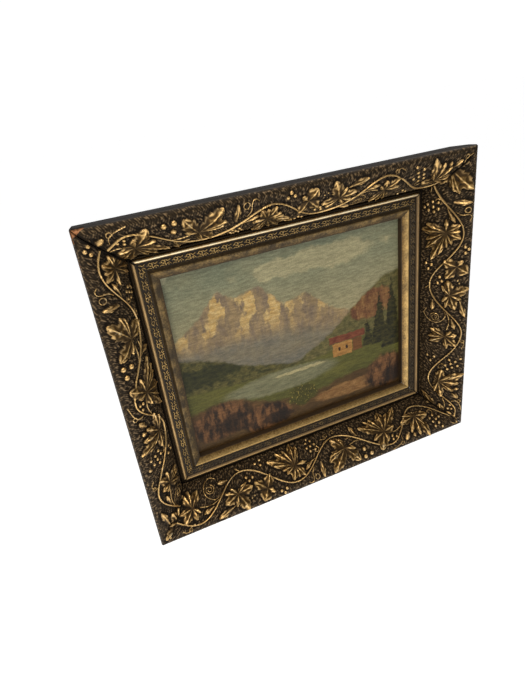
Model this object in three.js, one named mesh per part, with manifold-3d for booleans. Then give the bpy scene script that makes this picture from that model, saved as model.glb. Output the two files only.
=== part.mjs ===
// A framed oil painting: a painted panel in a narrow gilt liner, inside a deep
// mitred moulding whose rounded face carries a cast grapevine.
//
// Units are millimetres. X runs along the width, Z is up and Y goes into the
// wall, so the painting faces -Y. The origin lies on the back of the top rail,
// where the frame bears on the wall.

import * as THREE from 'three';
import { mergeVertices } from 'three/addons/utils/BufferGeometryUtils.js';
import Module from 'manifold-3d';

const wasm = await Module();
wasm.setup();

// ---------------------------------------------------------------- driving sizes

const OUTER_WIDTH = 457.2;
const OUTER_HEIGHT = 388.6;
const FRAME_DEPTH = 60;

// The moulding's face: a rounded nose, then one broad convex sweep to a groove.
const NOSE = { s: 5.3, d: 6.3 };
const SWEEP = { across: 38.5, drop: 45, power: 1.6 };
const SIDE_FLAT = 5.2;
const WAIST = { s: 4, d: 44 };
const BACK_INSET = 7.5;

// The double bead along the moulding's inner edge, and the rebate behind it.
const BEAD_EDGE = 53.6;
const LIP_BACK = 47.5;
const REBATE = 46.1;

// The liner: an ornament band, a ridge, and a gilt slope down to the sight edge.
const BAND = { depth: 43.3, inner: 62.5 };
const RIDGE = { outer: 66.6, inner: 67.8, depth: 39.9 };
const SIGHT = { edge: 75.6, depth: 43.8, back: 50.9 };
const LINER_REBATE = 69.7;
const LINER_BACK = 56;

const PANEL_THICKNESS = 3.5;

// Clearance between pieces that touch, and the top left mitre that has opened.
const GAP = 0.3;
const MITRE = { outer: GAP / 2, inner: GAP / 2 };
const OPEN_MITRE = { outer: 0.65, inner: GAP / 2 };

// Relief heights above the face, and how deep each form is rooted in it.
const ROOT = -2.6;
const SUNK = -0.3;
const STEM = { width: 2.4, height: 2.1 };
const TENDRIL = { width: 1.5, height: 1.2 };
const LEAF = { edge: 1.3, ridge: 3.3, heart: 1.7 };

// ------------------------------------------------------------------- the vine
// The cast ornament repeats along the moulding. Places are (u, v): u runs along
// the moulding, anticlockwise round the frame, and v runs down its face from the
// nose. Angles are in degrees, with 0 along u and 90 down the face.

const REPEAT = 410;

// Crests and hollows of the main stem, joined by half waves.
const STEM_TURNS = [
  [50, 6.5],
  [119, 48.5],
  [187, 10],
  [256, 47],
  [335, 9],
  [386, 47],
];

// Each lobe of a leaf is [angle, length, width].
const LEAVES = [
  { u: 46, v: 27, lobes: [[100, 20, 9], [62, 21, 10], [135, 19, 8], [185, 17, 9], [238, 17, 9], [285, 15, 8]] },
  { u: 106, v: 27, lobes: [[292, 26, 11], [203, 21, 10], [353, 20, 10], [150, 14, 8], [30, 14, 8], [252, 15, 8]] },
  { u: 147, v: 20, lobes: [[236, 19, 12], [140, 18, 11], [68, 17, 10], [330, 9, 7]] },
  { u: 188, v: 32, lobes: [[153, 32, 12], [75, 28, 10], [118, 24, 11], [262, 19, 10], [300, 18, 9], [25, 15, 10]] },
  { u: 264, v: 27, lobes: [[222, 32, 14], [302, 25, 9], [130, 20, 13], [342, 13, 7], [85, 15, 9], [178, 16, 8]] },
  { u: 324, v: 29, lobes: [[152, 29, 12], [78, 27, 12], [245, 21, 11], [290, 17, 8], [45, 29, 11], [115, 22, 9]] },
  { u: 381, v: 34, lobes: [[287, 33, 12], [205, 20, 11], [345, 21, 10], [240, 25, 9], [320, 19, 8], [150, 13, 8]] },
];

// Berries hang in threes and in one shape of bunch: [u, v, radius].
const THREES = [
  { u: 127, v: 36.5, radius: 1.9, spread: 4, turn: 20 },
  { u: 146, v: 51.5, radius: 2.1, spread: 4.4, turn: 30 },
  { u: 166.5, v: 6.4, radius: 2.3, spread: 4.2, turn: 90 },
  { u: 294, v: 11.5, radius: 2.8, spread: 6.4, turn: 0 },
  { u: 341, v: 17.4, radius: 1.9, spread: 3.4, turn: 180 },
];
const BUNCHES = [
  { u: 221, v: 47, radius: 1.9, turn: 0 },
  { u: 413, v: 14, radius: 1.9, turn: 35 },
];
const BUNCH_ROWS = [
  { offset: -6.5, count: 2 },
  { offset: -1, count: 3 },
  { offset: 5, count: 2 },
  { offset: 10.5, count: 1 },
];
const BUNCH_PITCH = 6.6;

// Pointed buds, from root to tip: [u, v, angle, length, width].
const BUDS = [
  [95, 10, 197, 22, 6],
  [72.5, 20, 197, 16, 4.6],
  [99, 44, 181, 14, 5.4],
  [226, 23, 266, 21, 5.6],
  [288, 37, 104, 16, 5.4],
  [366, 15, 225, 12, 6],
  [216, 28, 210, 16, 4.4],
];

// Thin stalks that tie leaves and fruit to the stem: [from, bend, to].
const STALKS = [
  [[48, 26], [61, 22.5], [77, 26.5]],
  [[190, 31], [205, 26.5], [221, 31]],
  [[266, 28], [279, 34], [292, 29]],
  [[328, 28], [343, 23], [358, 29]],
  [[151, 17], [161, 17], [172, 15]],
];

// One long tendril rolls into a spiral; short ones curl near the nose.
const SPIRAL = { u: 75.5, v: 42, outer: 13, inner: 2.2, turns: 1.9, start: -70, steps: 10 };
const CURLS = [
  { u: 213, v: 4.6, outer: 3.4, inner: 2.6, turns: 1, start: 120, steps: 6 },
  { u: 258, v: 53, outer: 3.6, inner: 2.4, turns: 0.7, start: -90, steps: 4 },
];

// Where on the repeat each rail begins, as the moulding was cut from the length.
const RAILS = [
  { name: 'bottom', length: OUTER_WIDTH, turn: 0, phase: 0 },
  { name: 'right', length: OUTER_HEIGHT, turn: 1, phase: -102 },
  { name: 'top', length: OUTER_WIDTH, turn: 2, phase: -75 },
  { name: 'left', length: OUTER_HEIGHT, turn: 3, phase: 147 },
];

// -------------------------------------------------------------- small geometry

const radians = THREE.MathUtils.degToRad;
const lerp = THREE.MathUtils.lerp;

// A closed manifold from any three.js geometry.
function solid(geometry) {
  const bare = geometry.clone();
  bare.deleteAttribute('normal');
  bare.deleteAttribute('uv');
  const merged = mergeVertices(bare, 1e-4);
  const vertProperties = new Float32Array(merged.attributes.position.array);
  const triVerts = new Uint32Array(merged.index.array);
  return new wasm.Manifold(new wasm.Mesh({ numProp: 3, vertProperties, triVerts }));
}

// A three.js geometry from a manifold.
function geometryOf(manifold) {
  const { vertProperties, triVerts } = manifold.getMesh();
  const geometry = new THREE.BufferGeometry();
  geometry.setAttribute('position', new THREE.BufferAttribute(vertProperties, 3));
  geometry.setIndex(new THREE.BufferAttribute(triVerts, 1));
  geometry.computeVertexNormals();
  return geometry;
}

// A geometry from points and the faces between them, each face a fan of corners.
function facets(points, faces) {
  const geometry = new THREE.BufferGeometry();
  geometry.setAttribute('position', new THREE.Float32BufferAttribute(points.flat(), 3));
  const index = [];
  for (const face of faces) {
    for (let i = 1; i < face.length - 1; i += 1) {
      index.push(face[0], face[i], face[i + 1]);
    }
  }
  geometry.setIndex(index);
  return geometry;
}

// --------------------------------------------------------------- the moulding
// Sections are drawn in (s, d): s inwards from the outer edge, d back from the
// front of the nose.

// A point on the sweep, for a fraction of its quarter turn.
function sweepPoint(fraction) {
  const angle = (fraction * Math.PI) / 2;
  const s = NOSE.s + SWEEP.across * Math.sin(angle) ** (2 / SWEEP.power);
  const d = SWEEP.drop * (1 - Math.cos(angle) ** (2 / SWEEP.power));
  return new THREE.Vector2(s, d);
}

const FINE_STEPS = 400;
const sweepTable = [{ v: 0, point: sweepPoint(0) }];
for (let i = 1; i <= FINE_STEPS; i += 1) {
  const point = sweepPoint(i / FINE_STEPS);
  const last = sweepTable[i - 1];
  sweepTable.push({ v: last.v + point.distanceTo(last.point), point });
}
const FACE_WIDTH = sweepTable[FINE_STEPS].v;

// The face at v: its place, and the direction that points out of it.
function faceAt(v) {
  const clamped = THREE.MathUtils.clamp(v, 0, FACE_WIDTH);
  let i = sweepTable.findIndex((entry) => entry.v >= clamped);
  i = Math.max(i, 1);
  const before = sweepTable[i - 1];
  const after = sweepTable[i];
  const share = (clamped - before.v) / (after.v - before.v);
  const point = before.point.clone().lerp(after.point, share);
  const along = after.point.clone().sub(before.point).normalize();
  return { point, out: new THREE.Vector2(along.y, -along.x) };
}

// A point of the relief, h above the face at (u, v).
function onFace(u, v, h) {
  const { point, out } = faceAt(v);
  return [u, point.y + out.y * h, point.x + out.x * h];
}

function railSection() {
  const noseSteps = 3;
  const sweepSteps = 7;
  const points = [[BACK_INSET, FRAME_DEPTH], [WAIST.s, WAIST.d], [0, NOSE.d + SIDE_FLAT]];
  for (let i = 0; i < noseSteps; i += 1) {
    const angle = ((i / noseSteps) * Math.PI) / 2;
    points.push([NOSE.s * (1 - Math.cos(angle)), NOSE.d * (1 - Math.sin(angle))]);
  }
  for (let i = 0; i <= sweepSteps; i += 1) {
    const { point } = faceAt((FACE_WIDTH * i) / sweepSteps);
    points.push([point.x, point.y]);
  }
  // The groove, the thin rope strand and the main bead.
  points.push([45.6, 45.2], [46.6, 43.9], [48.2, 43.6], [49, 44]);
  points.push([50.2, 42], [51.6, 41.4], [53, 42], [BEAD_EDGE, 43.2]);
  points.push([BEAD_EDGE, LIP_BACK], [REBATE, LIP_BACK], [REBATE, FRAME_DEPTH]);
  return points;
}

function linerSection() {
  const tongue = REBATE + GAP;
  const shoulder = BEAD_EDGE + GAP;
  return [
    [tongue, LINER_BACK],
    [tongue, LIP_BACK + GAP],
    [shoulder, LIP_BACK + GAP],
    [shoulder, BAND.depth],
    [BAND.inner, BAND.depth],
    [RIDGE.outer, RIDGE.depth + 0.4],
    [RIDGE.inner, RIDGE.depth],
    [SIGHT.edge, SIGHT.depth],
    [SIGHT.edge, SIGHT.back],
    [LINER_REBATE, SIGHT.back],
    [LINER_REBATE, LINER_BACK],
  ];
}

// How far the mitre of one end stands back from the true corner, at s.
function mitreSetBack(mitre, s) {
  return lerp(mitre.outer, mitre.inner, Math.min(s / BEAD_EDGE, 1)) * Math.SQRT2;
}

// A straight length of a section with both ends mitred. x is measured from the
// start of the rail's outer edge.
function mitredLength(section, length, startMitre, endMitre) {
  const outline = new THREE.Shape(section.map(([s, d]) => new THREE.Vector2(s, d)));
  const bar = new THREE.ExtrudeGeometry(outline, { depth: 1, bevelEnabled: false });
  const position = bar.attributes.position;
  for (let i = 0; i < position.count; i += 1) {
    const s = position.getX(i);
    const d = position.getY(i);
    const atStart = position.getZ(i) > 0.5;
    const start = s + mitreSetBack(startMitre, s);
    const end = length - s - mitreSetBack(endMitre, s);
    position.setXYZ(i, atStart ? start : end, d, s);
  }
  return bar;
}

// The space between a rail's two mitres, to trim what the vine carries past them.
function mitreSpace(length, startMitre, endMitre) {
  const reach = 30;
  const corners = [[-reach], [BEAD_EDGE + reach]].map(([s]) => [
    [s + mitreSetBack(startMitre, s), s],
    [length - s - mitreSetBack(endMitre, s), s],
  ]);
  const outline = new THREE.Shape(
    [corners[0][0], corners[0][1], corners[1][1], corners[1][0]].map(([x, s]) => new THREE.Vector2(x, s)),
  );
  const block = new THREE.ExtrudeGeometry(outline, { depth: FRAME_DEPTH + 2 * reach, bevelEnabled: false });
  block.rotateX(Math.PI / 2);
  block.translate(0, FRAME_DEPTH + reach, 0);
  return solid(block);
}

// ------------------------------------------------------------- the cast relief

// A leaf: blunt lobes round a sunken heart, each swelling along its middle.
function leaf(u0, v0, lobes) {
  const sorted = [...lobes].sort((a, b) => a[0] - b[0]);
  const place = (angle, radius, h) =>
    onFace(u0 + radius * Math.cos(radians(angle)), v0 + radius * Math.sin(radians(angle)), h);
  const top = [place(0, 0, LEAF.heart)];
  const rim = [];
  const faces = [];
  const ridges = [];
  sorted.forEach(([angle, length, width], i) => {
    const [nextAngle, nextLength] = sorted[(i + 1) % sorted.length];
    const span = (nextAngle - angle + 360) % 360;
    const spread = THREE.MathUtils.radToDeg(Math.atan2(width / 2, length * 0.9));
    const half = Math.min(spread, span * 0.4);
    rim.push([angle - half, length * 0.82]);
    rim.push([angle + half, length * 0.82]);
    rim.push([angle + span / 2, Math.min(length, nextLength) * 0.42]);
    ridges.push([angle, length * 0.6]);
  });
  const rimStart = 1 + ridges.length;
  ridges.forEach(([angle, radius]) => top.push(place(angle, radius, LEAF.ridge)));
  rim.forEach(([angle, radius]) => top.push(place(angle, radius, LEAF.edge)));
  const low = rim.map(([angle, radius]) => place(angle, radius, ROOT));
  const points = [...top, ...low, place(0, 0, ROOT)];
  const lowStart = top.length;
  const lowHeart = points.length - 1;
  const count = rim.length;
  for (let i = 0; i < count; i += 1) {
    const next = (i + 1) % count;
    faces.push([lowStart + i, lowStart + next, rimStart + next, rimStart + i]);
    faces.push([lowHeart, lowStart + next, lowStart + i]);
  }
  ridges.forEach((_, i) => {
    const before = rimStart + ((3 * i - 1 + count) % count);
    const first = rimStart + 3 * i;
    const loop = [0, before, first, first + 1, first + 2];
    for (let k = 0; k < loop.length; k += 1) {
      faces.push([1 + i, loop[k], loop[(k + 1) % loop.length]]);
    }
  });
  return facets(points, faces);
}

// A round-backed strand through places on the face, three-sided in section.
function strand(places, { width, height }) {
  const points = [];
  const faces = [];
  places.forEach(([u, v], i) => {
    const [ua, va] = places[Math.max(i - 1, 0)];
    const [ub, vb] = places[Math.min(i + 1, places.length - 1)];
    const run = Math.hypot(ub - ua, vb - va);
    const side = [(-(vb - va) / run) * (width / 2), ((ub - ua) / run) * (width / 2)];
    points.push(onFace(u - side[0], v - side[1], ROOT / 2));
    points.push(onFace(u, v, height));
    points.push(onFace(u + side[0], v + side[1], ROOT / 2));
  });
  for (let i = 0; i < places.length - 1; i += 1) {
    const a = 3 * i;
    const b = a + 3;
    faces.push([a, b, b + 1, a + 1], [a + 1, b + 1, b + 2, a + 2], [a + 2, b + 2, b, a]);
  }
  const last = 3 * (places.length - 1);
  faces.push([0, 1, 2], [last, last + 2, last + 1]);
  return facets(points, faces);
}

// A berry: a low peak over a ring of corners that is just sunk in the face.
function knob(u0, v0, radius, sides) {
  const foot = radius * 1.35;
  const points = [onFace(u0, v0, radius * 1.3)];
  const faces = [];
  for (let i = 0; i < sides; i += 1) {
    const angle = (2 * Math.PI * i) / sides;
    points.push(onFace(u0 + foot * Math.cos(angle), v0 + foot * Math.sin(angle), SUNK));
    const here = 1 + i;
    const next = 1 + ((i + 1) % sides);
    faces.push([0, here, next], [sides + 1, next, here]);
  }
  points.push(onFace(u0, v0, ROOT));
  return facets(points, faces);
}

// A bud: broadest a little past its root, with a keel along it.
function bud(u0, v0, angle, length, width) {
  const ahead = [Math.cos(radians(angle)), Math.sin(radians(angle))];
  const place = (run, side, h) =>
    onFace(u0 + ahead[0] * run - ahead[1] * side, v0 + ahead[1] * run + ahead[0] * side, h);
  const middle = length * 0.55;
  const points = [
    place(0, 0, SUNK),
    place(middle, -width / 2, SUNK),
    place(length, 0, SUNK),
    place(middle, width / 2, SUNK),
    place(middle, 0, 2.6),
    place(middle, 0, ROOT),
  ];
  const faces = [];
  for (let i = 0; i < 4; i += 1) {
    const next = (i + 1) % 4;
    faces.push([4, i, next], [5, next, i]);
  }
  return facets(points, faces);
}

// The main stem's v at u, as half waves between its turns.
function stemV(u) {
  const turns = [...STEM_TURNS, [STEM_TURNS[0][0] + REPEAT, STEM_TURNS[0][1]]];
  const first = turns[0][0];
  const inRepeat = first + THREE.MathUtils.euclideanModulo(u - first, REPEAT);
  const i = turns.findIndex((turn) => turn[0] > inRepeat) - 1;
  const [ua, va] = turns[i];
  const [ub, vb] = turns[i + 1];
  const share = (1 - Math.cos((Math.PI * (inRepeat - ua)) / (ub - ua))) / 2;
  return lerp(va, vb, share);
}

function spiralPlaces({ u, v, outer, inner, turns, start, steps }) {
  const places = [];
  for (let i = 0; i <= steps; i += 1) {
    const share = i / steps;
    const radius = lerp(outer, inner, share);
    const angle = radians(start) - 2 * Math.PI * turns * share;
    places.push([u + radius * Math.cos(angle), v + radius * Math.sin(angle)]);
  }
  return places;
}

function berries() {
  const all = [];
  for (const { u, v, radius, spread, turn } of THREES) {
    for (let i = 0; i < 3; i += 1) {
      const angle = radians(turn + 120 * i);
      all.push([u + spread * Math.cos(angle), v + spread * Math.sin(angle), radius]);
    }
  }
  for (const { u, v, radius, turn } of BUNCHES) {
    const axis = radians(turn);
    for (const { offset, count } of BUNCH_ROWS) {
      for (let i = 0; i < count; i += 1) {
        const across = (i - (count - 1) / 2) * BUNCH_PITCH;
        all.push([
          u + across * Math.cos(axis) - offset * Math.sin(axis),
          v + across * Math.sin(axis) + offset * Math.cos(axis),
          radius,
        ]);
      }
    }
  }
  return all;
}

// One repeat of everything but the main stem, as functions of a shift along u.
const MOTIFS = [
  ...LEAVES.map(({ u, v, lobes }) => ({ u, make: (shift) => leaf(u + shift, v, lobes) })),
  ...berries().map(([u, v, radius]) => ({ u, make: (shift) => knob(u + shift, v, radius, radius < 2.2 ? 4 : 5) })),
  ...BUDS.map(([u, v, ...rest]) => ({ u, make: (shift) => bud(u + shift, v, ...rest) })),
  ...STALKS.map((places) => ({
    u: places[1][0],
    make: (shift) => strand(places.map(([u, v]) => [u + shift, v]), TENDRIL),
  })),
  ...[SPIRAL, ...CURLS].map((spiral) => ({
    u: spiral.u,
    make: (shift) => strand(spiralPlaces({ ...spiral, u: spiral.u + shift }), TENDRIL),
  })),
];

// Every form that lands on a rail of this length and phase.
function reliefSolids(length, phase) {
  const margin = 32;
  const stemStep = 18;
  const forms = [];
  const stem = [];
  for (let x = -margin; x <= length + margin; x += stemStep) {
    stem.push([x, stemV(x + phase)]);
  }
  forms.push(strand(stem, STEM));
  const firstRepeat = Math.floor((phase - margin) / REPEAT) - 1;
  const lastRepeat = Math.ceil((phase + length + margin) / REPEAT) + 1;
  for (let k = firstRepeat; k <= lastRepeat; k += 1) {
    for (const { u, make } of MOTIFS) {
      const x = u + k * REPEAT - phase;
      if (x > -margin && x < length + margin) {
        forms.push(make(k * REPEAT - phase));
      }
    }
  }
  return forms.map(solid);
}

// --------------------------------------------------------------------- pieces

// A flake lost from the moulding's edge, as a rough lump to cut away.
function flake(x, d, s, size) {
  const lump = new THREE.IcosahedronGeometry(1, 0);
  lump.scale(size[0], size[1], size[2]);
  lump.rotateY(0.5);
  lump.translate(x, d, s);
  return solid(lump);
}

const CHIPS = {
  top: [{ fromEnd: 3, d: 3.4, s: 1, size: [7, 4.2, 4.4] }],
  left: [{ fromStart: 3, d: 3, s: 0.6, size: [9, 4.4, 4] }, { fromStart: 38, d: 3, s: -0.6, size: [4, 4, 2.4] }],
  bottom: [{ fromEnd: 0, d: 2, s: 0, size: [4, 4, 3] }],
  right: [{ fromStart: 0, d: 2, s: 0, size: [3, 4, 3] }],
};

function railGeometry({ name, length, phase }) {
  const startMitre = name === 'left' ? OPEN_MITRE : MITRE;
  const endMitre = name === 'top' ? OPEN_MITRE : MITRE;
  let rail = solid(mitredLength(railSection(), length, startMitre, endMitre));
  for (const form of reliefSolids(length, phase)) {
    rail = rail.add(form);
  }
  rail = rail.intersect(mitreSpace(length, startMitre, endMitre));
  for (const { fromStart, fromEnd, d, s, size } of CHIPS[name]) {
    const x = fromStart ?? length - fromEnd;
    rail = rail.subtract(flake(x, d, s, size));
  }
  // Crumbs left where edges cross are dropped: the rail is the one large body.
  const bodies = rail.decompose().sort((a, b) => b.volume() - a.volume());
  return geometryOf(bodies[0]);
}

function piece(name, geometry, { color, roughness, metalness }) {
  const mesh = new THREE.Mesh(geometry, new THREE.MeshStandardMaterial({ color, roughness, metalness }));
  mesh.name = name;
  return mesh;
}

const BRONZED = { color: 0x5a4526, roughness: 0.5, metalness: 0.4 };
const GILT = { color: 0x9a7436, roughness: 0.42, metalness: 0.6 };
const PAINT = { color: 0x8c8f72, roughness: 0.45, metalness: 0 };

// A rail is drawn as the bottom one is and turned to its side of the frame.
function place(mesh, turn, length) {
  const half = turn % 2 === 0 ? OUTER_HEIGHT / 2 : OUTER_WIDTH / 2;
  const seat = new THREE.Group();
  mesh.position.set(-length / 2, 0, -half);
  seat.rotation.y = (-turn * Math.PI) / 2;
  seat.add(mesh);
  return seat;
}

const frame = new THREE.Group();
for (const rail of RAILS) {
  frame.add(place(piece(`${rail.name}_rail`, railGeometry(rail), BRONZED), rail.turn, rail.length));
  const liner = mitredLength(linerSection(), rail.length, MITRE, MITRE);
  frame.add(place(piece(`${rail.name}_liner`, geometryOf(solid(liner)), GILT), rail.turn, rail.length));
}

const panelInset = LINER_REBATE + GAP;
const panelSize = [OUTER_WIDTH - 2 * panelInset, PANEL_THICKNESS, OUTER_HEIGHT - 2 * panelInset];
const panel = piece('painted_panel', new THREE.BoxGeometry(...panelSize), PAINT);
panel.position.y = SIGHT.back + GAP + PANEL_THICKNESS / 2;
frame.add(panel);

// The origin goes to the middle of the top rail's back.
const mountDrop = (BACK_INSET + REBATE) / 2;
frame.position.set(0, -FRAME_DEPTH, mountDrop - OUTER_HEIGHT / 2);

const painting = new THREE.Group();
painting.add(frame);

export default painting;
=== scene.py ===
import math

import bpy
import numpy as np
from mathutils import Matrix, Vector


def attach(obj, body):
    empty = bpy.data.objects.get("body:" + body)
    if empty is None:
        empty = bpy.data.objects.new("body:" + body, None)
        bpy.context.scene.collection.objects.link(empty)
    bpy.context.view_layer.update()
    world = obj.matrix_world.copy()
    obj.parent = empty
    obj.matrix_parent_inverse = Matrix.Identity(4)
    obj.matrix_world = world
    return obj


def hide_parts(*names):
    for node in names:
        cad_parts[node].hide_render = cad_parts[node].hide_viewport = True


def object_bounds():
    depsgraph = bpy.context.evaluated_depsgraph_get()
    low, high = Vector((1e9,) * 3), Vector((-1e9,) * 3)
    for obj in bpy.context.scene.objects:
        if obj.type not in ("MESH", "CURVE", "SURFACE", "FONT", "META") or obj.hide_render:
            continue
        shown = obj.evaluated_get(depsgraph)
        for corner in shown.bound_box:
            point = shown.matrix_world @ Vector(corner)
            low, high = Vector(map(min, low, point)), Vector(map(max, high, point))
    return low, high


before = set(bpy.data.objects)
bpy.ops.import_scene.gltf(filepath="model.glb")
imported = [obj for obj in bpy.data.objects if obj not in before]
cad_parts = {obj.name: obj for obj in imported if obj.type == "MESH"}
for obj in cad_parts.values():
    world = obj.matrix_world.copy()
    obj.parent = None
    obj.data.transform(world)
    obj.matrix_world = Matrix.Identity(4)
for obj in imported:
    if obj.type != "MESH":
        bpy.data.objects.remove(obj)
cad_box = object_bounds()
for chosen in bpy.context.selected_objects:
    chosen.select_set(False)

low, high = (Vector(corner) for corner in cad_box)

# ---------------------------------------------------------------- the camera
# The frame is seen from above its left end with the head tilted, from about
# one and a half times its width away.
camera_data = bpy.data.cameras.new("camera")
camera_data.sensor_width = 36.0
camera_data.lens = 27.04
camera = bpy.data.objects.new("camera", camera_data)
bpy.context.scene.collection.objects.link(camera)
to_right = Vector((0.9087, -0.3988, -0.1232)).normalized()
to_top = Vector((0.2859, 0.3798, 0.8798))
to_top = (to_top - to_top.dot(to_right) * to_right).normalized()
facing = to_top.cross(to_right)
turned = Matrix((to_right, to_top, -facing)).transposed().to_4x4()
camera.matrix_world = Matrix.Translation((-0.2442, -0.5482, 0.1259)) @ turned
bpy.context.scene.camera = camera

# ------------------------------------------------------- the floor and the light
# A pale floor well below the hanging frame, a large soft light above and to
# the left of the camera, two weaker ones, and a pale sky that is dimmer in front
# of the frame, so that the gilding has something dark to reflect.
picture_middle = Vector(((low.x + high.x) / 2, 0.0, (low.z + high.z) / 2))
bpy.ops.mesh.primitive_plane_add(size=40.0, location=(0.0, 0.0, low.z - 0.9))
floor = bpy.context.object
floor.name = "floor"
floor.select_set(False)
floor_paint = bpy.data.materials.new("pale_floor")
floor_paint.use_nodes = True
floor_shader = floor_paint.node_tree.nodes["Principled BSDF"]
floor_shader.inputs["Base Color"].default_value = (0.9, 0.9, 0.9, 1.0)
floor_shader.inputs["Roughness"].default_value = 0.9
floor_shader.inputs["Emission Color"].default_value = (1.0, 1.0, 1.0, 1.0)
floor_shader.inputs["Emission Strength"].default_value = 0.45
floor.data.materials.append(floor_paint)

world = bpy.data.worlds.new("pale_room")
world.use_nodes = True
sky = world.node_tree.nodes["Background"]
heading = world.node_tree.nodes.new("ShaderNodeTexCoord")
parts = world.node_tree.nodes.new("ShaderNodeSeparateXYZ")
dimming = world.node_tree.nodes.new("ShaderNodeMapRange")
dimming.inputs["From Min"].default_value = -0.25
dimming.inputs["From Max"].default_value = 0.3
dimming.inputs["To Min"].default_value = 0.16
dimming.inputs["To Max"].default_value = 1.05
sky.inputs["Color"].default_value = (1.0, 1.0, 1.0, 1.0)
world.node_tree.links.new(heading.outputs["Generated"], parts.inputs["Vector"])
world.node_tree.links.new(parts.outputs["Y"], dimming.inputs["Value"])
world.node_tree.links.new(dimming.outputs["Result"], sky.inputs["Strength"])
bpy.context.scene.world = world
bpy.context.scene.view_settings.view_transform = "Standard"


def soft_light(name, place, towards, size, power, tint):
    lamp = bpy.data.lights.new(name, "AREA")
    lamp.shape = "SQUARE"
    lamp.size = size
    lamp.energy = power
    lamp.color = tint
    light = bpy.data.objects.new(name, lamp)
    light.location = place
    light.rotation_euler = (Vector(towards) - Vector(place)).to_track_quat("-Z", "Y").to_euler()
    bpy.context.scene.collection.objects.link(light)


soft_light("window", (-0.9, -1.3, 1.3), picture_middle, 0.9, 21.0, (1.0, 0.91, 0.79))
soft_light("ceiling", (0.5, -0.5, 1.5), picture_middle, 0.7, 8.0, (1.0, 0.92, 0.82))
soft_light("low_fill", (-0.3, -1.3, -0.9), picture_middle, 0.8, 4.0, (1.0, 0.96, 0.9))

# ------------------------------------------------------------------- the rails
# Four lengths of one deep moulding, mitred at the corners. The wood carries a
# cast composition vine: stems, vine leaves, buds, berries and tendrils over a
# finely hatched ground, bronzed dark and gilded where the relief stands up.
# Sizes are millimetres: s inwards from the outer edge, d back from the front,
# u along a rail and v down its face from the front of the nose.
MILLIMETRE = 0.001
outer_width = high.x - low.x
outer_height = high.z - low.z
FRAME_DEPTH = 60.0
NOSE_S, NOSE_D = 5.3, 6.3
SWEEP_ACROSS, SWEEP_DROP, SWEEP_POWER = 38.5, 45.0, 1.6
BEAD_EDGE = 53.6
LIP_BACK = 47.5
REBATE = 46.1
BACK_INSET = 7.5
MITRE_GAP = 0.15
OPEN_MITRE_GAP = 0.65
REPEAT = 410.0
MESH_PITCH = 0.66
STEM_WIDTH, STEM_HEIGHT = 2.0, 2.5
STALK_WIDTH, STALK_HEIGHT = 1.5, 1.6
TENDRIL_WIDTH, SPIRAL_WIDTH, TENDRIL_HEIGHT = 1.35, 1.3, 1.3
WIDEST_SHARE = 0.6
TOOTH_PITCH = 6.4
HATCH_PITCH, HATCH_TURN, HATCH_SLANT = 2.6, 6.0, 3.4
NOTCH_PITCH = 2.3
HATCH_START, HATCH_END = (-7.5, -5.0), (63.5, 61.5)
NOSE_PLAIN = -8
# How far, and over what height, the relief is blurred to paint shade into its hollows and highlight onto
# its crests.
SHADE_REACH, SHADE_RANGE = 3, 2.4
CHIP_DEPTH, CHIP_EDGE = 1.6, 1.2
MITRE_DIRT = 1.2
SMOOTH_ANGLE = math.radians(55)
# What a mesh says of its finish at each point, in this order: gilt, painted shade and highlight from the
# relief (with the dark mitre joints), broken and plain.
GILT, SHADE_AND_DIRT, BROKEN, PLAIN = range(4)


def sweep_curve(fractions):
    angle = fractions * math.pi / 2
    s = NOSE_S + SWEEP_ACROSS * np.sin(angle) ** (2 / SWEEP_POWER)
    d = SWEEP_DROP * (1 - np.cos(angle) ** (2 / SWEEP_POWER))
    return np.stack([s, d], axis=1)


def evenly(curve, pitch):
    """Points along a curve, a steady distance apart."""
    run = np.concatenate([[0.0], np.cumsum(np.hypot(*np.diff(curve, axis=0).T))])
    count = max(2, int(round(run[-1] / pitch)) + 1)
    wanted = np.linspace(0.0, run[-1], count)
    return np.stack([np.interp(wanted, run, curve[:, k]) for k in range(2)], axis=1)


def smooth_step(low_edge, high_edge, value):
    share = np.clip((value - low_edge) / (high_edge - low_edge), 0.0, 1.0)
    return share * share * (3 - 2 * share)


def rounded(places, steps=8):
    """A smooth line through a few places, by Catmull and Rom's rule."""
    places = np.array(places, float)
    padded = np.vstack([2 * places[0] - places[1], places, 2 * places[-1] - places[-2]])
    line = []
    for i in range(len(places) - 1):
        before, start, end, after = padded[i:i + 4]
        for step in range(steps):
            t = step / steps
            line.append(0.5 * (
                2 * start + (end - before) * t
                + (2 * before - 5 * start + 4 * end - after) * t ** 2
                + (3 * start - before - 3 * end + after) * t ** 3
            ))
    line.append(places[-1])
    return np.array(line)


def spiral(centre_u, centre_v, outer, inner, turns, start, steps=60):
    share = np.linspace(0.0, 1.0, steps)
    radius = outer + (inner - outer) * share
    angle = math.radians(start) - 2 * math.pi * turns * share
    return np.stack([centre_u + radius * np.cos(angle), centre_v + radius * np.sin(angle)], axis=1)


STEM_TURNS = [(50, 6.5), (119, 48.5), (187, 10), (256, 47), (335, 9), (386, 47)]

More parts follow.
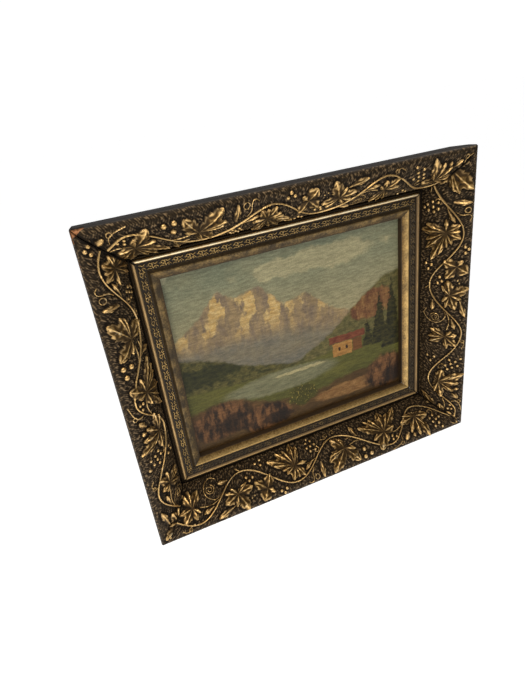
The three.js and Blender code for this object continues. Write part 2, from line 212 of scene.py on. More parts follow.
# A leaf is a heart and the tips of its fingers, each (u, v, width).
LEAVES = [
    ((46, 27), [(31, 12, 9), (48, 12, 7), (28, 24, 6), (54, 19, 5), (37, 47, 8), (45, 49, 7),
                (57, 46, 9)]),
    ((106, 23), [(86, 16, 10), (100, 9, 5), (115, 0.5, 12), (127, 26, 10), (120, 33, 5),
                 (98, 32, 5), (89, 28, 5)]),
    ((145, 16), [(136, 3, 13), (130, 29, 10), (153, 32, 11), (153, 9, 6)]),
    ((190, 30), [(182, 13, 9), (191, 14, 7), (199, 14, 8), (175, 23, 6), (171, 29, 5), (162, 38, 7),
                 (155, 47, 10), (170, 54, 9), (181, 54, 7), (194, 60, 10), (201, 54, 7), (207, 30, 4)]),
    ((265, 27), [(240, 2, 14), (237, 17, 12), (240, 23, 6), (282, 5, 12), (280, 22, 6),
                 (250, 44, 13), (261, 41, 7)]),
    ((330, 28), [(317, 6, 13), (331, 14, 7), (310, 22, 7), (295, 45, 10), (307, 51, 7),
                 (316, 52, 7), (335, 57, 13), (347, 51, 9), (347, 31, 8), (362, 56, 9)]),
    ((384, 33), [(358, 29, 9), (366, 38, 5), (369, 13, 7), (382, 6, 8), (397, 0, 11), (393, 18, 6),
                 (404, 29, 10)]),
]
BUDS = [
    (95, 10, 197, 22, 6), (72.5, 20, 197, 16, 4.6), (99, 44, 181, 14, 5.4), (226, 23, 266, 21, 5.6),
    (288, 37, 104, 16, 5.6), (366, 15, 225, 12, 6), (216, 28, 210, 16, 4), (372, 14, 280, 8, 4),
]
BERRIES = [
    (125.5, 33, 2.1), (131, 36, 2.1), (122.8, 38.2, 2.1), (147, 46.8, 2.2),
    (141, 51.2, 2.2), (148.4, 54.2, 2.2), (162, 6.4, 2.2), (166.3, 2.5, 2.2),
    (169.8, 7.1, 2.2), (339, 14.2, 2), (345.3, 16.2, 2), (339, 18.9, 2),
    (290.4, 6.9, 3.1), (300.6, 8.2, 3.1), (291.5, 16.7, 3.1),
    (218.5, 40, 2), (226.4, 40.1, 2), (215.2, 45.2, 2), (221.2, 46.4, 2), (227.4, 47.1, 2),
    (216.8, 52.2, 2), (224.2, 53.6, 2), (220.4, 57.7, 2),
    (405, 22, 2), (411, 25, 2), (408, 16, 2), (414, 18, 2), (420, 20, 2), (410, 9, 2),
    (417, 12, 2), (421, 5, 2),
    (423, 40, 2.1), (416, 45, 2.1), (423.6, 49.6, 2.1), (152, 11, 1.3), (122, 12, 1.2), (126, 14, 1.2),
]
STALKS = [
    [(56, 25), (65, 22.7), (73, 23), (82, 26.2)],
    [(199, 29), (209, 26.7), (221, 29.2)],
    [(274, 29), (285, 31), (295, 28.6)],
    [(330, 26), (346, 23.7), (358, 27.5)],
    [(94.6, 9.6), (100, 12), (103, 18)],
    [(224.5, 37.5), (228, 36), (231, 40), (229, 44)],
    [(120, 47.7), (117, 51), (114, 54.7)],
    [(274, 38), (279, 38.2), (288, 37)],
    [(289.7, 36), (287, 43), (284, 51.5)],
]
TENDRILS = [
    [(92, 29), (87, 30.8), (80, 27.5), (73, 28.5), (66.5, 36), (67.5, 46), (72.5, 52.5),
     (79, 55.8), (85, 52.2)],
    [(214, 19.2), (210, 13), (209.5, 7)],
    [(210, 8), (208.6, 2.5), (205, 1), (202, 3)],
    [(238, 49.8), (245, 48.7), (250, 52)],
    [(352, 15.2), (352, 8), (346, 3.5), (335, 0.2)],
    [(44, 9), (38, 7), (36, 3), (32, 2), (27, 5)],
    [(404, 31), (409, 34), (413, 30), (410, 25)],
]
SPIRALS = [
    (73.7, 40.8, 6.2, 2.0, 1.6, 60), (215, 5.8, 3.8, 3.0, 1.0, 120),
    (247, 53, 3.2, 2.0, 0.9, 20), (259, 54.2, 3.0, 2.2, 0.9, 200),
    (351, 4.7, 2.8, 2.0, 0.9, 40), (37, 4.2, 2.6, 1.8, 0.9, 80),
]


def raise_finger(relief, u, v, heart, tip_u, tip_v, width):
    """One pointed, toothed lobe of a leaf, highest along its middle vein."""
    reach_u, reach_v = tip_u - heart[0], tip_v - heart[1]
    length = math.hypot(reach_u, reach_v)
    near = (np.abs(u - (heart[0] + tip_u) / 2) < length / 2 + width) & \
           (np.abs(v - (heart[1] + tip_v) / 2) < length / 2 + width)
    along = ((u[near] - heart[0]) * reach_u + (v[near] - heart[1]) * reach_v) / length
    across = (-(u[near] - heart[0]) * reach_v + (v[near] - heart[1]) * reach_u) / length
    share = along / length
    swell = 0.4 + 0.6 * np.sin(np.clip(share / WIDEST_SHARE, 0, 1) * math.pi / 2)
    ending = np.clip((1 - share) / (1 - WIDEST_SHARE), 0, 1) ** 0.55
    teeth = 0.86 + 0.26 * np.mod(along / TOOTH_PITCH, 1.0)
    half = width * 0.72 * swell * ending * teeth + 1e-6
    side = np.abs(across) / half
    folds = 0.5 + 0.5 * np.cos(2 * math.pi * (side * 1.15 + 0.25 * np.cos(along / 1.9)))
    rim = np.clip((1 - side) / 0.25, 0, 1) ** 0.5
    crest = 0.6 * np.exp(-(across / 0.7) ** 2)
    body = (1.5 + 1.9 * smooth_step(0.05, 0.7, share)) * (1 - 0.4 * side ** 1.5)
    height = (body * (0.8 + 0.2 * folds) + crest) * rim
    height[(share < 0) | (share > 1) | (side > 1)] = 0
    relief[near] = np.maximum(relief[near], height)


def raise_blade(relief, u, v, heart, fingers):
    """The low body of a leaf, which joins its fingers round the heart."""
    near = (np.abs(u - heart[0]) < 30) & (np.abs(v - heart[1]) < 30)
    away = np.hypot(u[near] - heart[0], v[near] - heart[1])
    angle = np.arctan2(v[near] - heart[1], u[near] - heart[0])
    reach = sorted(
        (math.atan2(tip_v - heart[1], tip_u - heart[0]), math.hypot(tip_u - heart[0], tip_v - heart[1]))
        for tip_u, tip_v, _ in fingers
    )
    corners = []
    next_reach = reach[1:] + [(reach[0][0] + 2 * math.pi, reach[0][1])]
    for (angle_a, reach_a), (angle_b, reach_b) in zip(reach, next_reach):
        gap = angle_b - angle_a
        dip = 0.74 * min(reach_a, reach_b) * (1 - 0.6 * min(gap / 1.8, 1))
        corners += [(angle_a, 0.72 * reach_a), ((angle_a + angle_b) / 2, dip)]
    corners = np.array(sorted((math.remainder(a, 2 * math.pi), r) for a, r in corners))
    edge = np.interp(angle, corners[:, 0], corners[:, 1], period=2 * math.pi)
    veins = 1.25 + 0.4 * np.cos(angle * 11)
    relief[near] = np.maximum(relief[near], veins * np.sqrt(np.clip((edge - away) / 1.2, 0, 1)))


def raise_line(relief, u, v, line, width, height):
    for start, end in zip(line[:-1], line[1:]):
        reach = np.abs(end - start) / 2 + width
        middle = (start + end) / 2
        near = (np.abs(u - middle[0]) < reach[0]) & (np.abs(v - middle[1]) < reach[1])
        if not near.any():
            continue
        step = end - start
        size = max(float(step @ step), 1e-9)
        share = np.clip(((u[near] - start[0]) * step[0] + (v[near] - start[1]) * step[1]) / size, 0, 1)
        away = np.hypot(u[near] - start[0] - share * step[0], v[near] - start[1] - share * step[1])
        rounding = np.sqrt(np.clip(1 - (2 * away / width) ** 2, 0, 1))
        relief[near] = np.maximum(relief[near], height * rounding)


def raise_berry(relief, u, v, centre_u, centre_v, radius):
    near = (np.abs(u - centre_u) < radius) & (np.abs(v - centre_v) < radius)
    away = np.hypot(u[near] - centre_u, v[near] - centre_v)
    dome = np.sqrt(np.clip(radius ** 2 - away ** 2, 0, None)) * 1.15
    relief[near] = np.maximum(relief[near], dome)


def stem_line(start, end):
    u = np.arange(start, end, 1.5)
    turns = STEM_TURNS + [(STEM_TURNS[0][0] + REPEAT, STEM_TURNS[0][1])]
    first = turns[0][0]
    inside = first + np.mod(u - first, REPEAT)
    v = np.zeros_like(u)
    for (ua, va), (ub, vb) in zip(turns[:-1], turns[1:]):
        part = (inside >= ua) & (inside <= ub)
        v[part] = va + (vb - va) * (1 - np.cos(math.pi * (inside[part] - ua) / (ub - ua))) / 2
    return np.stack([u, v], axis=1)


def vine(u, v):
    """The height of the cast vine at places on the face, and how bright it was rubbed."""
    relief = np.zeros_like(u)
    slender = np.zeros_like(u)
    raise_line(slender, u, v, stem_line(u.min() - 5, u.max() + 5), STEM_WIDTH, STEM_HEIGHT)
    first = math.floor((u.min() - 40) / REPEAT) - 1
    last = math.ceil((u.max() + 40) / REPEAT) + 1
    for k in range(first, last):
        shift = k * REPEAT
        if shift + REPEAT + 40 < u.min() or shift - 40 > u.max():
            continue
        moved = np.array([shift, 0.0])
        for places in STALKS:
            raise_line(slender, u, v, rounded(places) + moved, STALK_WIDTH, STALK_HEIGHT)
        for places in TENDRILS:
            raise_line(slender, u, v, rounded(places) + moved, TENDRIL_WIDTH, TENDRIL_HEIGHT)
        for centre_u, *rest in SPIRALS:
            curl = spiral(centre_u + shift, *rest)
            raise_line(slender, u, v, curl, SPIRAL_WIDTH, TENDRIL_HEIGHT)
        for heart, fingers in LEAVES:
            heart = (heart[0] + shift, heart[1])
            fingers = [(tip_u + shift, tip_v, width) for tip_u, tip_v, width in fingers]
            raise_blade(relief, u, v, heart, fingers)
            for tip_u, tip_v, width in fingers:
                raise_finger(relief, u, v, heart, tip_u, tip_v, width)
        for root_u, root_v, angle, length, width in BUDS:
            tip_u = root_u + shift + length * math.cos(math.radians(angle))
            tip_v = root_v + length * math.sin(math.radians(angle))
            raise_finger(relief, u, v, (root_u + shift, root_v), tip_u, tip_v, width)
        for berry_u, berry_v, radius in BERRIES:
            raise_berry(slender, u, v, berry_u + shift, berry_v, radius)
    shine = np.maximum(
        0.5 * smooth_step(0.45, 1.3, relief) + 0.5 * smooth_step(1.8, 3.3, relief),
        smooth_step(0.5, 1.2, slender),
    )
    return np.maximum(relief, slender), shine


def blurred(field, reach):
    for axis, count in enumerate(field.shape):
        for _ in range(2):
            total = np.zeros_like(field)
            for step in range(-reach, reach + 1):
                beside = np.clip(np.arange(count) + step, 0, count - 1)
                total += np.take(field, beside, axis)
            field = total / (2 * reach + 1)
    return field


def hatching(u, v):
    """The ground: fine slanted ribs, roughened, and a little lower on the nose."""
    grain = blurred(np.random.default_rng(5).random(u.shape), 1)
    grain = (grain - grain.mean()) / grain.std()
    slant = np.abs(np.mod(v / HATCH_TURN, 2.0) - 1.0) * HATCH_SLANT
    ribs = 0.5 + 0.5 * np.cos(2 * math.pi * (u + slant + 0.3 * grain) / HATCH_PITCH)
    ground = np.clip(0.12 + 0.65 * ribs + 0.42 * grain, 0.0, 1.4)
    return ground * (0.85 + 0.15 * smooth_step(0.0, 6.0, v))


def notches(u, v):
    """Slanted notches along the thin strand outside the bead."""
    return -0.5 * (0.5 + 0.5 * np.cos(2 * math.pi * (u + 0.7 * v) / NOTCH_PITCH)) ** 2


def rail_section():
    """Rows of the moulding: s, d, the run v down its face, and what each row is."""
    quarter = np.linspace(0, math.pi / 2, 14)[:-1]
    nose = [(NOSE_S * (1 - math.cos(t)), NOSE_D * (1 - math.sin(t))) for t in quarter]
    face = evenly(sweep_curve(np.linspace(0, 1, 400)), MESH_PITCH)
    foot = [(44.6, 45.2), (45.6, 45.4), (46.5, 45.0)]
    over_strand, over_bead = np.linspace(math.pi, 0, 7), np.linspace(math.pi, 0, 11)
    strand = [(48.05 + 1.35 * math.cos(t), 44.2 - 1.1 * math.sin(t)) for t in over_strand]
    bead = [(51.6 + 2.0 * math.cos(t), 43.2 - 1.9 * math.sin(t)) for t in over_bead]
    back = [(BEAD_EDGE, LIP_BACK), (REBATE, LIP_BACK)]
    back += [(REBATE, FRAME_DEPTH), (BACK_INSET, FRAME_DEPTH)]
    side = [(4.0, 44.0), (0.6, 17.0), (0.05, 7.6)]
    rows = [(s, d, "nose") for s, d in nose]
    rows += [(s, d, "face") for s, d in face]
    rows += [(s, d, "foot") for s, d in foot]
    rows += [(s, d, "strand") for s, d in strand]
    rows += [(s, d, "bead") for s, d in bead]
    rows += [(s, d, "back") for s, d in back]
    rows += [(s, d, "side") for s, d in side]
    place = np.array([(s, d) for s, d, _ in rows])
    kind = np.array([k for _, _, k in rows])
    v = np.cumsum(np.concatenate([[0.0], np.hypot(*np.diff(place, axis=0).T)]))
    v -= v[len(nose)]
    return place, kind, v


def build_length(name, place, length, turn, gaps, height, finish, columns):
    """One mitred length: rows run along it, and the ends are cut on the mitre."""
    before = np.roll(place, 1, axis=0)
    after = np.roll(place, -1, axis=0)
    along = after - before
    along /= np.hypot(along[:, 0], along[:, 1])[:, None]
    out = np.stack([along[:, 1], -along[:, 0]], axis=1)
    s = place[:, None, 0] + out[:, None, 0] * height
    d = place[:, None, 1] + out[:, None, 1] * height
    share = np.linspace(0.0, 1.0, columns)[None, :]
    gap_share = np.clip(s / BEAD_EDGE, 0, 1)
    start = s + math.sqrt(2) * (gaps[0] + (MITRE_GAP - gaps[0]) * gap_share)
    end = length - s - math.sqrt(2) * (gaps[1] + (MITRE_GAP - gaps[1]) * gap_share)
    x = start + (end - start) * share - length / 2
    z = s - (outer_height if turn % 2 == 0 else outer_width) / MILLIMETRE / 2
    turned_x, turned_z = [(x, z), (-z, x), (-x, -z), (z, -x)][turn]
    rows = len(place)
    points = np.stack([turned_x, d - FRAME_DEPTH, turned_z], axis=2).reshape(-1, 3) * MILLIMETRE
    points += np.array([picture_middle.x, 0.0, picture_middle.z])
    index = np.arange(rows * columns).reshape(rows, columns)
    below = np.roll(index, -1, axis=0)
    quads = np.stack([index[:, :-1], index[:, 1:], below[:, 1:], below[:, :-1]], axis=2).reshape(-1, 4)
    faces = quads.tolist() + [index[:, 0].tolist(), index[::-1, -1].tolist()]
    mesh = bpy.data.meshes.new(name)
    mesh.from_pydata(points.tolist(), [], faces)
    mesh.update()
    paint = mesh.attributes.new("finish", "FLOAT_COLOR", "POINT")
    paint.data.foreach_set("color", finish.reshape(-1, 4).astype(np.float32).ravel())
    piece = bpy.data.objects.new(name, mesh)
    bpy.context.scene.collection.objects.link(piece)
    bpy.context.view_layer.objects.active = piece
    piece.select_set(True)
    bpy.ops.object.mode_set(mode="EDIT")
    bpy.ops.mesh.select_all(action="SELECT")
    bpy.ops.mesh.normals_make_consistent(inside=False)
    bpy.ops.object.mode_set(mode="OBJECT")
    bpy.ops.object.shade_smooth_by_angle(angle=SMOOTH_ANGLE)
    piece.select_set(False)
    return piece


def places_along(place, length, columns):
    s = place[:, None, 0]
    return s + (length - 2 * s) * np.linspace(0.0, 1.0, columns)[None, :]


def carve_face(height, finish, face, u, v):
    """The vine on its hatched ground, with the gilding rubbed where the vine stands up, painted shade in
    its hollows and painted highlight on its crests.
    """
    raised, shine = vine(u, v)
    fade = smooth_step(*HATCH_START, v) * smooth_step(*HATCH_END, v)
    whole = np.maximum(raised, hatching(u, v) * fade)
    worn_smooth = 0.15 + 0.85 * smooth_step(0.0, 5.0, v)
    height[face] = np.where(raised > 0, whole, whole * worn_smooth)
    finish[face, :, GILT] = shine
    # Painted shade and highlight: the relief less its blurred self, darker in the hollows, lighter on
    # the crests.
    shade_and_dirt = (whole - blurred(whole, SHADE_REACH)) / SHADE_RANGE
    finish[face, :, SHADE_AND_DIRT] = np.clip(0.5 + shade_and_dirt, 0, 1)


def carve_bead(height, finish, kind, u, v, bead_glint_sharpness, bead_gilt_and_glint):
    """The notched strand, the gilt bead beside it and the foot above them, with painted shade in the
    notches and the foot and a painted highlight along the bead.
    """
    strand = kind == "strand"
    crown = np.sin(np.linspace(0, math.pi, strand.sum()))[:, None]
    height[strand] = notches(u[strand], v[strand]) * crown
    finish[strand, :, GILT] = 0.35
    # Painted shade in the strand's notches.
    finish[strand, :, SHADE_AND_DIRT] = 0.5 + height[strand] * 0.6
    bead = kind == "bead"
    over_bead = np.sin(np.linspace(0.15, math.pi - 0.15, bead.sum()))[:, None]
    # Painted highlight: the bead's gold gathered along its crest.
    finish[bead, :, GILT] = bead_gilt_and_glint * over_bead ** bead_glint_sharpness
    finish[bead, :, SHADE_AND_DIRT] = 0.9
    # Painted shade in the groove at the foot.
    finish[kind == "foot", :, SHADE_AND_DIRT] = 0.15


def break_chips(height, finish, along, v, chips):
    """Ragged places, each (along, v, radius), where the composition has broken off."""
    ragged = blurred(np.random.default_rng(9).random(along.shape), 2) * 9 - 4.5
    for chip_along, chip_v, radius in chips:
        away = np.hypot(along - chip_along, v - chip_v) + ragged
        broken = smooth_step(radius, radius - CHIP_EDGE, away)
        height += (-CHIP_DEPTH - height) * broken
        finish[..., BROKEN] = np.maximum(finish[..., BROKEN], broken)


def rail(name, length, turn, phase, gaps, bead_glint_sharpness, bead_gilt_and_glint, chips=()):
    place, kind, run = rail_section()
    columns = int(length / MESH_PITCH)
    along = places_along(place, length, columns)
    u = along + phase
    v = np.repeat(run[:, None], columns, axis=1)
    height = np.zeros_like(u)
    finish = np.zeros(u.shape + (4,))
    finish[..., SHADE_AND_DIRT] = 0.5
    nose = kind == "nose"
    face = (kind == "face") | (nose & (run > NOSE_PLAIN))
    carve_face(height, finish, face, u[face], v[face])
    carve_bead(height, finish, kind, u, v, bead_glint_sharpness, bead_gilt_and_glint)
    finish[(kind == "side") | (kind == "back"), :, PLAIN] = 1.0
    finish[nose & (run < NOSE_PLAIN), :, PLAIN] = 0.7
    s = place[:, None, 0]
    for from_end, gap in zip((along - s, length - s - along), gaps):
        clean = smooth_step(gap * 1.6, gap * 1.6 + MITRE_DIRT, from_end)
        finish[..., SHADE_AND_DIRT] *= 0.3 + 0.7 * clean
    break_chips(height, finish, along, v, chips)
    piece = build_length(name + "_gilded", place, length, turn, gaps, height, finish, columns)
    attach(piece, "root")
    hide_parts(name)
    return piece


long_side = outer_width / MILLIMETRE
short_side = outer_height / MILLIMETRE
# Each bead's gold is a painted highlight along its crest: a thin line on the bottom, right and left
# rails, broad and glinting on the top rail, where the light catches it.
rails = [
    rail("bottom_rail", long_side, 0, phase=0.0, gaps=(MITRE_GAP, MITRE_GAP),
         bead_glint_sharpness=5, bead_gilt_and_glint=0.7, chips=[(long_side - 3, -7, 3)]),
    rail("right_rail", short_side, 1, phase=-101.6, gaps=(MITRE_GAP, MITRE_GAP),
         bead_glint_sharpness=5, bead_gilt_and_glint=0.5),
    rail("top_rail", long_side, 2, phase=-75.2, gaps=(MITRE_GAP, OPEN_MITRE_GAP),
         bead_glint_sharpness=0.6, bead_gilt_and_glint=1.5, chips=[(long_side - 2, -6, 5), (long_side - 9, -8, 3)]),
    rail("left_rail", short_side, 3, phase=147.0, gaps=(OPEN_MITRE_GAP, MITRE_GAP),
         bead_glint_sharpness=2, bead_gilt_and_glint=0.55, chips=[(2, -6, 5), (9, -8, 3.5), (31, -8, 2.5), (36, -9, 2)]),
]


class Socket:
    """A shader socket that adds Math nodes when it is used in a sum."""

    def __init__(self, tree, link):
        self.tree = tree
        self.link = link

    def math(self, operation, *values):
        return Nodes(self.tree).add("ShaderNodeMath", {"operation": operation}, dict(enumerate(values)))

    def __add__(self, other):
        return self.math("ADD", self, other)

    def __radd__(self, other):
        return self.math("ADD", other, self)

    def __sub__(self, other):
        return self.math("SUBTRACT", self, other)

    def __rsub__(self, other):
        return self.math("SUBTRACT", other, self)

    def __mul__(self, other):
        return self.math("MULTIPLY", self, other)

    def __rmul__(self, other):
        return self.math("MULTIPLY", other, self)

    def __truediv__(self, other):
        return self.math("DIVIDE", self, other)

    def __pow__(self, other):
        return self.math("POWER", self, other)

    def over(self, edge):
        return self.math("GREATER_THAN", self, edge)

    def band(self, low_edge, high_edge):
        """0 below the low edge, 1 above the high one, and smooth between."""
        nodes = Nodes(self.tree)
        settings = {"interpolation_type": "SMOOTHSTEP"}
        sockets = {"Value": self, "From Min": low_edge, "From Max": high_edge}
        return nodes.add("ShaderNodeMapRange", settings, sockets)


class Nodes:
    """Adds nodes to one material: their settings first, then their sockets."""

    def __init__(self, tree):
        self.tree = tree

    def add(self, kind, settings, sockets, output=0):
        node = self.tree.nodes.new(kind)
        for name, value in settings.items():
            if name == "stops":
                ramp = node.color_ramp
                while len(ramp.elements) < len(value):
                    ramp.elements.new(0.5)
                for element, (position, color) in zip(ramp.elements, value):
                    element.position = position
                    element.color = (*color, 1.0)
            else:
                setattr(node, name, value)
        for name, value in sockets.items():
            if isinstance(value, Socket):
                self.tree.links.new(value.link, node.inputs[name])
            elif isinstance(value, tuple) and len(value) == 3 and node.inputs[name].type == "RGBA":
                node.inputs[name].default_value = (*value, 1.0)
            else:
                node.inputs[name].default_value = value
        return Socket(self.tree, node.outputs[output])

    def mix(self, share, first, second, blend="MIX"):
        settings = {"data_type": "RGBA", "blend_type": blend, "clamp_factor": True}
        return self.add("ShaderNodeMix", settings, {0: share, 6: first, 7: second}, output=2)

    def noise(self, place, scale, detail=3.0, roughness=0.55):
        sockets = {"Vector": place, "Scale": scale, "Detail": detail, "Roughness": roughness}
        return self.add("ShaderNodeTexNoise", {}, sockets)

    def place(self):
        return self.add("ShaderNodeTexCoord", {}, {}, output=3)


def new_finish(name):
    material = bpy.data.materials.new(name)
    material.use_nodes = True
    tree = material.node_tree
    return material, Nodes(tree), tree.nodes["Principled BSDF"]


def connect(nodes, shader, **sockets):
    for name, value in sockets.items():
        nodes.tree.links.new(value.link, shader.inputs[name.replace("_", " ")])


def read_finish(nodes):
    """The shares kept on the mesh: gilt, painted shade and highlight with the dark mitre joints, broken
    and plain.
    """
    whole = nodes.add("ShaderNodeAttribute", {"attribute_name": "finish"}, {})
    shares = nodes.add("ShaderNodeSeparateColor", {}, {"Color": whole}).link.node.outputs
    plain = Socket(nodes.tree, whole.link.node.outputs["Alpha"])
    return [Socket(nodes.tree, share) for share in shares] + [plain]


def bronzed_gilding():
    """Dark bronze in the hollows deepened by painted shade, antique gold on what stands up lit by
    painted highlights and glints, red clay where broken.
    """
    material, nodes, shader = new_finish("bronzed_gilding")
    place = nodes.place()
    gilded, shade_and_dirt, broken, plain = read_finish(nodes)
    cloud = nodes.noise(place, 60.0)
    fine = nodes.noise(place, 420.0, detail=2.0)
    worn = (gilded + (cloud - 0.5) * 0.5 + (fine - 0.5) * 0.35).band(0.15, 1.05)
    # Painted highlight where the relief stands above its surroundings, painted shade where it sinks
    # below them, partly over the frame's dark toning in the hollows; the shade also takes the dark mitre
    # joints.
    crest = shade_and_dirt.band(0.5, 0.8)
    pit_shade_and_dirt = 1 - shade_and_dirt.band(0.28, 0.52)
    # Ground and gold each in a shaded and a lit copy, mixed by the painted highlight on the crests.
    ground = nodes.mix(crest, (0.03, 0.02, 0.01), (0.2, 0.135, 0.07))
    gold = nodes.mix(crest, (0.095, 0.052, 0.014), (0.7, 0.455, 0.18))
    # A painted glint of pale gold where the gilt runs past full, mostly on the top rail's bead.
    painted_glint = (gilded + (cloud - 0.5) * 1.2 + (fine - 0.5) * 0.8).band(1.0, 1.7)
    gold = nodes.mix(painted_glint, gold, (0.95, 0.8, 0.52))
    color = nodes.mix(worn, ground, gold)
    # Painted shade: the hollows darkened nearly to black.
    color = nodes.mix(pit_shade_and_dirt * 0.88, color, (0.007, 0.005, 0.003))
    side = nodes.mix(cloud, (0.006, 0.004, 0.003), (0.013, 0.009, 0.006))
    color = nodes.mix(plain, color, side)
    clay = nodes.mix(fine.band(0.35, 0.65), (0.22, 0.09, 0.035), (0.46, 0.21, 0.09))
    color = nodes.mix(broken, color, clay)
    depth = nodes.add("ShaderNodeSeparateXYZ", {}, {"Vector": place}, output=1)
    wood = nodes.mix(cloud, (0.1, 0.06, 0.03), (0.17, 0.105, 0.055))
    color = nodes.mix((depth + 0.0005).over(0.0), color, wood)
    metal = (0.3 + worn * 0.55) * (1 - pit_shade_and_dirt * 0.8) * (1 - plain * 0.9) * (1 - broken)
    rough = 0.44 - worn * 0.12 + pit_shade_and_dirt * 0.35 + plain * 0.4 + (fine - 0.5) * 0.2
    grain = nodes.add("ShaderNodeBump", {}, {"Strength": 0.25, "Distance": 0.0004, "Height": fine})
    connect(nodes, shader, Base_Color=color, Metallic=metal, Roughness=rough, Normal=grain)
    shader.inputs["Specular IOR Level"].default_value = 0.12
    return material


gilding = bronzed_gilding()
for piece in rails:
    piece.data.materials.append(gilding)

# ------------------------------------------------------------------- the liners
# Four narrower mitred lengths inside the moulding: a dark band of small cast
# scrolls, a ridge, and a slope of worn gold leaf down to the painting.
LINER_CLEARANCE = 0.3
LINER_TONGUE = REBATE + LINER_CLEARANCE
LINER_SHOULDER = BEAD_EDGE + LINER_CLEARANCE
LINER_LEDGE = LIP_BACK + LINER_CLEARANCE
BAND_OUTER, BAND_DEPTH, BAND_INNER = 54.4, 43.3, 62.5
RIDGE_OUTER, RIDGE_INNER, RIDGE_DEPTH = 66.6, 67.8, 39.9
SIGHT_EDGE, SIGHT_DEPTH, SIGHT_BACK = 75.6, 43.8, 50.9
LINER_REBATE, LINER_BACK = 69.7, 56.0
SCROLL_PITCH, SCROLL_WIDTH, SCROLL_HEIGHT = 13.7, 1.5, 0.9
LINER_PITCH = 0.5


def scrolls(u, across):
    """Small leaf scrolls in a row: a bar, two hooks and a dot in each pitch."""
    relief = np.zeros_like(u)
    turn = np.floor(u / SCROLL_PITCH)
    x = u - (turn + 0.5) * SCROLL_PITCH
    y = across - 4.6
    forms = [
        rounded([(-6, 2.4), (-4, 0.6), (-1.5, 1.6), (0, 3.0)]),
        rounded([(0, -2.8), (0.4, 0), (0, 3.0)]),
        rounded([(0, -1), (2.2, -2.8), (4.4, -1.6), (3.4, 0.2)]),
        rounded([(-5.6, -2.6), (-3, -1.4), (-1.2, -2.6)]),
        rounded([(1.6, 2.8), (4, 2.2), (6, 3.0)]),
    ]
    for line in forms:
        raise_line(relief, x, y, line, SCROLL_WIDTH, SCROLL_HEIGHT)
    for dot_u, dot_v, radius in ((-3.2, 2.6, 1.0), (2.0, 0.4, 1.0), (5.6, -0.6, 0.9)):
        raise_berry(relief, x, y, dot_u, dot_v, radius)
    return relief


def liner_section():
    def run(start, end, pitch):
        return evenly(np.array([start, end], float), pitch)[:-1].tolist()

    shoulder = (LINER_SHOULDER, BAND_DEPTH)
    band_start, band_end = (BAND_OUTER, BAND_DEPTH), (BAND_INNER + 1.2, BAND_DEPTH)
    ridge_start, ridge_end = (RIDGE_OUTER, RIDGE_DEPTH + 0.4), (RIDGE_INNER, RIDGE_DEPTH)
    rows = [(s, d, "edge") for s, d in run(shoulder, band_start, 0.3)]
    rows += [(s, d, "band") for s, d in run(band_start, band_end, LINER_PITCH)]
    rows += [(s, d, "rise") for s, d in run(band_end, ridge_start, 0.6)]
    rows += [(s, d, "ridge") for s, d in run(ridge_start, ridge_end, 0.4)]
    rows += [(s, d, "slope") for s, d in run(ridge_end, (SIGHT_EDGE, SIGHT_DEPTH), 1.0)]
    rows += [(SIGHT_EDGE, SIGHT_DEPTH, "lip"), (SIGHT_EDGE, SIGHT_BACK, "lip")]
    rows += [(LINER_REBATE, SIGHT_BACK, "back"), (LINER_REBATE, LINER_BACK, "back")]
    rows += [(LINER_TONGUE, LINER_BACK, "back")]
    rows += [(LINER_TONGUE, LINER_LEDGE, "back"), (LINER_SHOULDER, LINER_LEDGE, "back")]
    place = np.array([(s, d) for s, d, _ in rows])
    return place, np.array([k for _, _, k in rows])


def liner(name, length, turn, band_gold, slope_gilt_and_light):
    place, kind = liner_section()
    columns = int((length - 2 * LINER_SHOULDER) / LINER_PITCH)
    u = places_along(place, length, columns)
    height = np.zeros_like(u)
    finish = np.zeros(u.shape + (4,))
    finish[..., SHADE_AND_DIRT] = 0.5
    band = kind == "band"
    across = np.repeat((place[band, 0] - BAND_OUTER)[:, None], columns, axis=1)
    raised = scrolls(u[band] - length / 2, across)
    height[band] = raised
    finish[band, :, GILT] = band_gold * smooth_step(0.4, 0.95, raised)
    # Painted shade on the band's ground and painted highlight on its scrolls.
    finish[band, :, SHADE_AND_DIRT] = np.clip(0.1 + raised * 0.7, 0, 1)
    # Painted highlight on the ridge.
    finish[kind == "ridge", :, GILT] = slope_gilt_and_light
    finish[kind == "ridge", :, SHADE_AND_DIRT] = 0.9
    # Painted shade: the slope darker from the ridge down to the lip.
    slope_shade = np.linspace(0.8, 0.42, (kind == "slope").sum())[:, None]
    finish[kind == "slope", :, GILT] = slope_gilt_and_light
    finish[kind == "slope", :, SHADE_AND_DIRT] = slope_shade
    finish[kind == "lip", :, PLAIN] = 0.6
    finish[kind == "back", :, PLAIN] = 1.0
    finish[kind == "rise", :, GILT] = 0.3
    gaps = (MITRE_GAP, MITRE_GAP)
    piece = build_length(name + "_gilded", place, length, turn, gaps, height, finish, columns)
    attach(piece, "root")
    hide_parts(name)
    return piece


# The slope's gold follows the light: brightest on the bottom length, which faces up towards it, then the
# right, dimmest on the top and left.
liners = [
    liner("bottom_liner", long_side, 0, band_gold=0.45, slope_gilt_and_light=0.95),
    liner("right_liner", short_side, 1, band_gold=0.45, slope_gilt_and_light=0.8),
    liner("top_liner", long_side, 2, band_gold=0.95, slope_gilt_and_light=0.5),
    liner("left_liner", short_side, 3, band_gold=0.85, slope_gilt_and_light=0.45),
]


